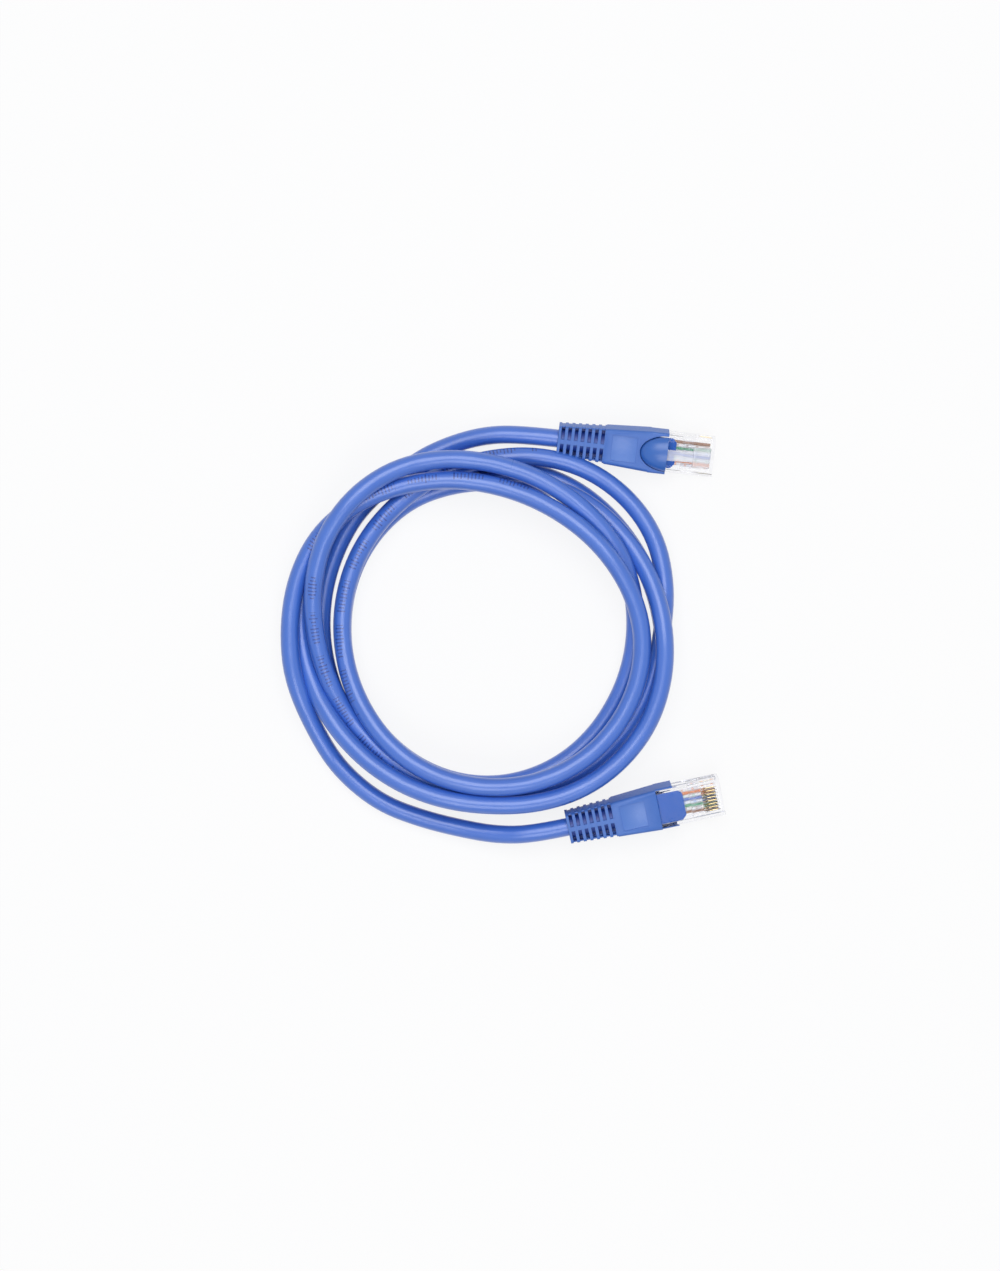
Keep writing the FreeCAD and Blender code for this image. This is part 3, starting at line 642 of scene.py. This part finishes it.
print("ticks", TICK_WIDTH, "mm wide, every", TICK_PITCH, "mm")

# %% [markdown]
# ## The jacket
# The jacket is PVC pressed through a die, blue right through.  To the eye it is smooth and a
# little waxy: a soft highlight under a thin clear sheen, dulled in places by handling.  The
# four twisted pairs press through it as a ripple so faint that only the gloss shows it, so
# bump is enough for that, where geometry would cost a million faces.

# %% Extruded PVC
JACKET_DEEP = "#3867C4"
JACKET_PALE = "#4A79D6"
INK = "#182878"
PAIR_LAY = 12
RIPPLE = 0.55


def jacket_bump(material, place, along, around):
    """The pairs' ripple and the die's fine drag marks."""
    lay = add_node(material, "ShaderNodeMath", {0: along, 1: 2 * math.pi / PAIR_LAY}, operation="MULTIPLY")
    twist = add_node(
        material, "ShaderNodeMath", {0: around, 1: 4 * math.pi, 2: lay.outputs[0]}, operation="MULTIPLY_ADD"
    )
    ripple = add_node(material, "ShaderNodeMath", {0: twist.outputs[0]}, operation="SINE")
    fine = add_node(material, "ShaderNodeTexNoise", {"Vector": place, "Scale": 2.2, "Detail": 4.0})
    height = add_node(
        material,
        "ShaderNodeMath",
        {0: ripple.outputs[0], 1: RIPPLE, 2: fine.outputs["Fac"]},
        operation="MULTIPLY_ADD",
    )
    return add_node(
        material, "ShaderNodeBump", {"Height": height.outputs[0], "Strength": 0.22, "Distance": 0.00022}
    )


def extruded_pvc():
    """Satin blue PVC, in clouds a few centimetres long, printed with plain ticks."""
    material = new_material("extruded_pvc_blue")
    uv = add_node(material, "ShaderNodeUVMap", uv_map="millimetres")
    place = uv.outputs["UV"]
    parts = add_node(material, "ShaderNodeSeparateXYZ", {"Vector": place})
    along, around = parts.outputs["X"], parts.outputs["Y"]
    cloud = add_node(material, "ShaderNodeTexNoise", {"Vector": place, "Scale": 0.05, "Detail": 4.0})
    blue = add_node(
        material,
        "ShaderNodeMix",
        {"Factor": cloud.outputs["Fac"], COLOUR_A: linear(JACKET_DEEP), COLOUR_B: linear(JACKET_PALE)},
        data_type="RGBA",
    )
    ink = jacket_ink(material, place, along, around)
    printed = add_node(
        material,
        "ShaderNodeMix",
        {"Factor": ink, COLOUR_A: blue.outputs[BLEND], COLOUR_B: linear(INK)},
        data_type="RGBA",
    )
    scuff = add_node(material, "ShaderNodeTexNoise", {"Vector": place, "Scale": 0.35, "Detail": 5.0})
    dull = add_node(
        material, "ShaderNodeMapRange", {"Value": scuff.outputs["Fac"], "To Min": 0.22, "To Max": 0.4}
    )
    shader = add_node(
        material,
        "ShaderNodeBsdfPrincipled",
        {
            "Base Color": printed.outputs[BLEND],
            "Roughness": dull.outputs["Result"],
            "IOR": 1.53,
            "Coat Weight": 0.6,
            "Coat Roughness": 0.3,
            "Normal": jacket_bump(material, place, along, around).outputs["Normal"],
        },
    )
    add_node(material, "ShaderNodeOutputMaterial", {"Surface": shader.outputs["BSDF"]})
    return material


jacket = extruded_pvc()
cable.data.materials.append(jacket)
print("the jacket's finish has", len(jacket.node_tree.nodes), "nodes")

# %% [markdown]
# ## Patterns that follow a plug
# The two plugs lie at different angles, but a boot's slots and panels are in the same place
# on both.  Turning the pieces would move them out of their true place, so a Mapping node
# turns the pattern instead: it gives each point's place in its own plug, in millimetres.


# %% A point's place in its plug
def in_plug(material, end):
    """Along, across and up in the plug's own frame, and the same three as one vector."""
    place = add_node(material, "ShaderNodeTexCoord")
    home = PLUG[end].inverted()
    mapping = add_node(
        material,
        "ShaderNodeMapping",
        {
            "Vector": place.outputs["Object"],
            "Location": home.translation / MM,
            "Rotation": home.to_euler(),
            "Scale": (1 / MM, 1 / MM, 1 / MM),
        },
    )
    vector = mapping.outputs["Vector"]
    parts = add_node(material, "ShaderNodeSeparateXYZ", {"Vector": vector})
    return *(parts.outputs[axis] for axis in "XYZ"), vector


print("plug b is turned", round(math.degrees(PLUG["b"].to_euler().z), 1), "degrees on the table")

# %% [markdown]
# ## The boots
# A boot is soft PVC shot into a spark-eroded mould, which leaves a fine even grain, with
# label panels that are polished and smoother, and painted a paler blue as a painted reflection
# of the bright room.  Its slots are real pockets in the mesh.  Little light gets into them, so
# the finish paints shade into them as well, a darker blue deep in the slots.

# %% Slots and label panels
SLOT_BOTTOM, SLOT_LIP = 3.1, 3.8
RELIEF_LENGTH = 14.2
SLOT_REACH = 4.25
PANEL_MIDDLE, PANEL_HALF_LENGTH, PANEL_HALF_WIDTH = 20.2, 3.75, 3.85


def painted_slot_shade(material, along, across, up):
    """How much shade is painted: one deep inside the relief's slots, and zero on the boot's faces."""
    height = add_node(material, "ShaderNodeMath", {0: up}, operation="ABSOLUTE")
    depth = add_node(
        material,
        "ShaderNodeMapRange",
        {
            "Value": height.outputs[0],
            "From Min": SLOT_BOTTOM,
            "From Max": SLOT_LIP,
            "To Min": 1.0,
            "To Max": 0.0,
        },
    )
    relief = add_node(material, "ShaderNodeMath", {0: along, 1: RELIEF_LENGTH}, operation="LESS_THAN")
    wide = add_node(material, "ShaderNodeMath", {0: across}, operation="ABSOLUTE")
    inside = add_node(
        material, "ShaderNodeMath", {0: wide.outputs[0], 1: SLOT_REACH}, operation="LESS_THAN"
    )
    shade = depth.outputs["Result"]
    for mask in (relief, inside):
        shade = add_node(
            material, "ShaderNodeMath", {0: shade, 1: mask.outputs[0]}, operation="MULTIPLY"
        ).outputs[0]
    return shade


def label_panel(material, along, across):
    """One on the polished label panels of both faces, and zero elsewhere; it sets both their smoother
    finish and their painted sheen.
    """
    ahead = add_node(
        material, "ShaderNodeMath", {0: along, 1: PANEL_MIDDLE, 2: PANEL_HALF_LENGTH}, operation="COMPARE"
    )
    beside = add_node(
        material, "ShaderNodeMath", {0: across, 1: 0.0, 2: PANEL_HALF_WIDTH}, operation="COMPARE"
    )
    return add_node(
        material, "ShaderNodeMath", {0: ahead.outputs[0], 1: beside.outputs[0]}, operation="MULTIPLY"
    ).outputs[0]


print("label panels", 2 * PANEL_HALF_LENGTH, "by", 2 * PANEL_HALF_WIDTH, "mm")

# %% Lines of the mould
SEAM_HALF_WIDTH = 0.07
LIP_AT, LIP_HALF_WIDTH = 24.95, 0.14


def mould_bump(material, along, up, grain):
    """The grain, with a raised parting line at half height and a sunk line at the lip."""
    seam = add_node(
        material, "ShaderNodeMath", {0: up, 1: 0.0, 2: SEAM_HALF_WIDTH}, operation="COMPARE"
    )
    lip = add_node(
        material, "ShaderNodeMath", {0: along, 1: LIP_AT, 2: LIP_HALF_WIDTH}, operation="COMPARE"
    )
    lines = add_node(
        material, "ShaderNodeMath", {0: seam.outputs[0], 1: lip.outputs[0]}, operation="SUBTRACT"
    )
    raised = add_node(
        material, "ShaderNodeMath", {0: lines.outputs[0], 1: 2.5, 2: grain}, operation="MULTIPLY_ADD"
    )
    return add_node(
        material, "ShaderNodeBump", {"Height": raised.outputs[0], "Strength": 0.3, "Distance": 0.00012}
    )


print("the lip starts", LIP_AT, "mm from the boot's rear")


# %% Soft PVC of the boots
def moulded_vinyl(end):
    """Soft PVC from a spark-eroded mould: an even fine grain, duller than the jacket, with painted shade in
    the slots and a painted sheen on the label panels.
    """
    material = new_material(f"moulded_soft_pvc_{end}")
    along, across, up, place = in_plug(material, end)
    grain = add_node(material, "ShaderNodeTexNoise", {"Vector": place, "Scale": 4.5, "Detail": 3.0})
    cloud = add_node(material, "ShaderNodeTexNoise", {"Vector": place, "Scale": 0.16, "Detail": 3.0})
    blue = add_node(
        material,
        "ShaderNodeMix",
        {"Factor": cloud.outputs["Fac"], COLOUR_A: linear("#3866B8"), COLOUR_B: linear("#4976C6")},
        data_type="RGBA",
    )
    # Painted shade: deep in the slots the blue turns to a darker #1B3A8E, where little light gets in.
    painted_shade_mix = add_node(
        material,
        "ShaderNodeMix",
        {
            "Factor": painted_slot_shade(material, along, across, up),
            COLOUR_A: blue.outputs[BLEND],
            COLOUR_B: linear("#1B3A8E"),
        },
        data_type="RGBA",
    )
    panel = label_panel(material, along, across)
    # Painted reflection: the polished label panels are painted a paler #527CCA, as the bright room mirrored
    # in them; their smoother finish below is real.
    painted_panel_sheen = add_node(
        material,
        "ShaderNodeMix",
        {"Factor": panel, COLOUR_A: painted_shade_mix.outputs[BLEND], COLOUR_B: linear("#527CCA")},
        data_type="RGBA",
    )
    finish = add_node(material, "ShaderNodeMapRange", {"Value": panel, "To Min": 0.44, "To Max": 0.32})
    shader = add_node(
        material,
        "ShaderNodeBsdfPrincipled",
        {
            "Base Color": painted_panel_sheen.outputs[BLEND],
            "Roughness": finish.outputs["Result"],
            "IOR": 1.53,
            "Normal": mould_bump(material, along, up, grain.outputs["Fac"]).outputs["Normal"],
        },
    )
    add_node(material, "ShaderNodeOutputMaterial", {"Surface": shader.outputs["BSDF"]})
    return material


boot_vinyl = {end: moulded_vinyl(end) for end in "ab"}
print("boot finishes", [material.name for material in boot_vinyl.values()])

# %% [markdown]
# ## The other mouldings
# The press dome is polished so that a thumb slides on it.  The inner mould was shot into the
# clear plug and touches it, so its own surface hardly shines: its index is set near to one.
# The jacket's cut end and the natural polyethylene cross are hidden in the boot.  They get
# their true finishes all the same, for anyone who takes the cable apart.

# %% Plastics with a plain grain
CLOUDS_PER_METRE = 180.0


def moulded_plastic(name, low, high, roughness, grain_mm, index=1.53):
    """A smooth moulded plastic: two near colours in soft clouds, under a fine grain."""
    material = new_material(name)
    place = add_node(material, "ShaderNodeTexCoord").outputs["Object"]
    cloud = add_node(
        material, "ShaderNodeTexNoise", {"Vector": place, "Scale": CLOUDS_PER_METRE, "Detail": 3.0}
    )
    grain = add_node(
        material, "ShaderNodeTexNoise", {"Vector": place, "Scale": 1 / (grain_mm * MM), "Detail": 2.0}
    )
    colour = add_node(
        material,
        "ShaderNodeMix",
        {"Factor": cloud.outputs["Fac"], COLOUR_A: linear(low), COLOUR_B: linear(high)},
        data_type="RGBA",
    )
    bump = add_node(
        material, "ShaderNodeBump", {"Height": grain.outputs["Fac"], "Strength": 0.15, "Distance": 0.0001}
    )
    shader = add_node(
        material,
        "ShaderNodeBsdfPrincipled",
        {
            "Base Color": colour.outputs[BLEND],
            "Roughness": roughness,
            "IOR": index,
            "Normal": bump.outputs["Normal"],
        },
    )
    add_node(material, "ShaderNodeOutputMaterial", {"Surface": shader.outputs["BSDF"]})
    return material


dome_vinyl = moulded_plastic("polished_soft_pvc_dome", "#2D62B4", "#3A6EC0", 0.28, 0.3)
mould_vinyl = moulded_plastic("soft_pvc_inner_mould", "#2660BE", "#2F69C6", 0.3, 0.3, index=1.12)
jacket_end = moulded_plastic("jacket_pvc_cut_end", JACKET_DEEP, JACKET_PALE, 0.36, 0.2)
natural = moulded_plastic("natural_polyethylene", "#DADCDC", "#E6E8E8", 0.5, 0.3)
print("moulded", [m.name for m in (dome_vinyl, mould_vinyl, jacket_end, natural)])

# %% [markdown]
# ## The clear plugs
# The plugs are polycarbonate shot into a polished mould.  To the eye they are mostly bright
# edges, with the wires seen through them.  Near the true index of 1.58, all their walls
# together mirror so much of the white room that a pale veil lies over the parts inside, so
# the index is lower here.  Lamps shine straight through to the wires, where a true caustic
# would need far more samples.  The latch is flexed and handled, so it is hazy, and the wires
# under it look faint.


# %% Clear polycarbonate
def clear_polycarbonate(name, clearness, roughness):
    """Injected polycarbonate, with the faint waves that its flow leaves in the surface."""
    material = new_material(name)
    place = add_node(material, "ShaderNodeTexCoord").outputs["Object"]
    flow = add_node(material, "ShaderNodeTexNoise", {"Vector": place, "Scale": 260.0, "Detail": 1.0})
    bump = add_node(
        material, "ShaderNodeBump", {"Height": flow.outputs["Fac"], "Strength": 0.12, "Distance": 0.0003}
    )
    glass = add_node(
        material,
        "ShaderNodeBsdfPrincipled",
        {
            "Base Color": linear("#FBFBFD"),
            "Roughness": roughness,
            "IOR": 1.27,
            "Transmission Weight": clearness,
            "Normal": bump.outputs["Normal"],
        },
    )
    gap = add_node(material, "ShaderNodeBsdfTransparent", {"Color": linear("#FAFBFD")})
    ray = add_node(material, "ShaderNodeLightPath")
    lit = add_node(
        material,
        "ShaderNodeMath",
        {0: ray.outputs["Is Shadow Ray"], 1: ray.outputs["Is Diffuse Ray"]},
        operation="MAXIMUM",
    )
    mix = add_node(
        material,
        "ShaderNodeMixShader",
        {0: lit.outputs[0], 1: glass.outputs["BSDF"], 2: gap.outputs["BSDF"]},
    )
    add_node(material, "ShaderNodeOutputMaterial", {"Surface": mix.outputs["Shader"]})
    return material


polycarbonate = clear_polycarbonate("clear_polycarbonate", 1.0, 0.04)
hazy = clear_polycarbonate("handled_polycarbonate", 0.7, 0.18)
print("clear", polycarbonate.name, "and hazy", hazy.name)

# %% [markdown]
# ## Contacts and cores
# The contacts are bronze blades, stamped and then plated with gold.  The blanking tool
# leaves streaks along them, which break their mirror shine into a soft one.  The cores are
# bare copper, a little darker where air has reached it.

# %% Metals
STREAKS_PER_METRE = 2500.0


def plated(name, low, high, roughness):
    """Bright stamped metal, with the faint streaks of the blanking tool 0.4 mm apart."""
    material = new_material(name)
    place = add_node(material, "ShaderNodeTexCoord").outputs["Object"]
    streak = add_node(
        material, "ShaderNodeTexNoise", {"Vector": place, "Scale": STREAKS_PER_METRE, "Detail": 2.0}
    )
    colour = add_node(
        material,
        "ShaderNodeMix",
        {"Factor": streak.outputs["Fac"], COLOUR_A: linear(low), COLOUR_B: linear(high)},
        data_type="RGBA",
    )
    bump = add_node(
        material, "ShaderNodeBump", {"Height": streak.outputs["Fac"], "Strength": 0.1, "Distance": 0.0001}
    )
    shader = add_node(
        material,
        "ShaderNodeBsdfPrincipled",
        {
            "Base Color": colour.outputs[BLEND],
            "Metallic": 1.0,
            "Roughness": roughness,
            "Normal": bump.outputs["Normal"],
        },
    )
    add_node(material, "ShaderNodeOutputMaterial", {"Surface": shader.outputs["BSDF"]})
    return material


gold = plated("gold_plating", "#FADC98", "#FFEEC0", 0.4)
copper = plated("bare_copper", "#C97B50", "#DE9468", 0.32)
print("metals", gold.name, "and", copper.name)

# %% [markdown]
# ## The wires
# Four pairs run to the contacts.  In each pair one wire is coloured, and the other is white
# with a short band of its pair's colour every 3 mm.  Separate rings would be dozens of tiny
# pieces, so the bands are drawn along the plug by the finish.  The colours are faded,
# because thin polyethylene lets light through.

# %% Wire insulation
BAND_PITCH, BAND_WIDTH = 3.0, 0.7
WIRE_COLOURS = {
    "white_orange": ("#F6F1EC", "#EE9A62"),
    "orange": ("#E6854A", "#EE9A66"),
    "white_green": ("#F1F6F2", "#7DBD93"),
    "blue": ("#5878C2", "#6A8ACC"),
    "white_blue": ("#F1F4FA", "#8AA5DC"),
    "green": ("#58A278", "#6CB08A"),
    "white_brown": ("#F6F1EC", "#B08A70"),
    "brown": ("#976A4E", "#A87C5E"),
}


def insulation(name, end, base, band):
    """Polyethylene insulation; a white wire has a short band of its pair's colour."""
    material = new_material(f"insulation_{name}_{end}")
    along, _, _, place = in_plug(material, end)
    painted = repeated(material, along, BAND_PITCH, BAND_WIDTH)
    cloud = add_node(material, "ShaderNodeTexNoise", {"Vector": place, "Scale": 1.5, "Detail": 3.0})
    faded = add_node(
        material, "ShaderNodeMath", {0: painted, 1: cloud.outputs["Fac"]}, operation="MULTIPLY"
    )
    colour = add_node(
        material,
        "ShaderNodeMix",
        {"Factor": faded.outputs[0], COLOUR_A: linear(base), COLOUR_B: linear(band)},
        data_type="RGBA",
    )
    bump = add_node(
        material, "ShaderNodeBump", {"Height": cloud.outputs["Fac"], "Strength": 0.15, "Distance": 0.0001}
    )
    shader = add_node(
        material,
        "ShaderNodeBsdfPrincipled",
        {
            "Base Color": colour.outputs[BLEND],
            "Roughness": 0.38,
            "IOR": 1.5,
            "Normal": bump.outputs["Normal"],
        },
    )
    add_node(material, "ShaderNodeOutputMaterial", {"Surface": shader.outputs["BSDF"]})
    return material


print(len(WIRE_COLOURS), "wire colours")

# %% [markdown]
# ## Softened mouldings
# CAD edges are knife-sharp, and no moulded part is.  A rounded-edge shader would only fake
# it, so each moulded part is copied, its triangles are merged into whole faces, and every
# sharp edge gets a small bevel that catches the light.

# %% Round the edges of a part
SAME_SPOT = 0.002 * MM
FLAT_ENOUGH = math.radians(1.5)
SHARP_EDGE = math.radians(35)
SHADED_SHARP = math.radians(40)


def softened(node, name, width):
    """A copy of a CAD part with its sharp edges rounded, which stands for that part."""
    mesh = bmesh.new()
    mesh.from_mesh(frame["nodes"][node].data)
    bmesh.ops.remove_doubles(mesh, verts=mesh.verts[:], dist=SAME_SPOT)
    bmesh.ops.dissolve_limit(
        mesh, angle_limit=FLAT_ENOUGH, verts=mesh.verts[:], edges=mesh.edges[:]
    )
    edges = [
        edge
        for edge in mesh.edges
        if len(edge.link_faces) == 2 and edge.calc_face_angle(0) > SHARP_EDGE
    ]
    bmesh.ops.bevel(
        mesh,
        geom=edges,
        offset=width * MM,
        offset_type="OFFSET",
        segments=2,
        profile=0.5,
        affect="EDGES",
        clamp_overlap=True,
        material=-1,
    )
    bmesh.ops.triangulate(mesh, faces=mesh.faces[:])
    data = bpy.data.meshes.new(name)
    mesh.to_mesh(data)
    mesh.free()
    data.materials.clear()
    data.shade_smooth()
    data.set_sharp_from_angle(angle=SHADED_SHARP)
    piece = bpy.data.objects.new(name, data)
    scene.collection.objects.link(piece)
    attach(piece, body_of(frame["nodes"][node])[0])
    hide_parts(node)
    return piece


print("edges sharper than", round(math.degrees(SHARP_EDGE)), "degrees get a bevel")

# %% Boots, domes, inner moulds and clear parts
MOULDINGS = [
    # CAD part, name of the softened piece, rounding in mm, finish slot
    ("boot", "moulded_boot", 0.12, "boot_vinyl"),
    ("latch_hood", "press_dome", 0.18, "boot_vinyl"),
    ("inner_mould", "pre_mould", 0.12, "mould_vinyl"),
    ("plug_housing", "clear_plug", 0.07, "clear_polycarbonate"),
    ("latch", "spring_latch", 0.07, "clear_polycarbonate"),
    ("load_bar", "wire_bar", 0.07, "clear_polycarbonate"),
]

for end in "ab":
    finishes = [boot_vinyl[end], dome_vinyl, mould_vinyl, polycarbonate, hazy, polycarbonate]
    for (node, name, width, slot), finish in zip(MOULDINGS, finishes):
        piece = softened(f"{node}_{end}", f"{name}_{end}", width)
        piece.data.materials.append(finish)
        print(piece.name, len(piece.data.polygons), "triangles")

# %% [markdown]
# ## The parts that keep their shape
# The contacts, wires, cores, cross and cut jacket are already right in the CAD model, and
# too small for an edge to be seen.  They only change their finish.


# %% Finish the small parts
def finish_node(node, material):
    """Give a CAD part its finish and leave its mesh as it is."""
    piece = frame["nodes"][node]
    piece.data.materials.clear()
    piece.data.materials.append(material)


for end in "ab":
    finish_node(f"contacts_{end}", gold)
    finish_node(f"conductor_cores_{end}", copper)
    finish_node(f"pair_separator_{end}", natural)
    finish_node(f"jacket_end_{end}", jacket_end)
    for wire, (base, band) in WIRE_COLOURS.items():
        finish_node(f"wire_{wire}_{end}", insulation(wire, end, base, band))
    print("plug", end, "has", 4 + len(WIRE_COLOURS), "small parts finished")

# %% [markdown]
# ## The last update

# %% Finish
bpy.context.view_layer.update()
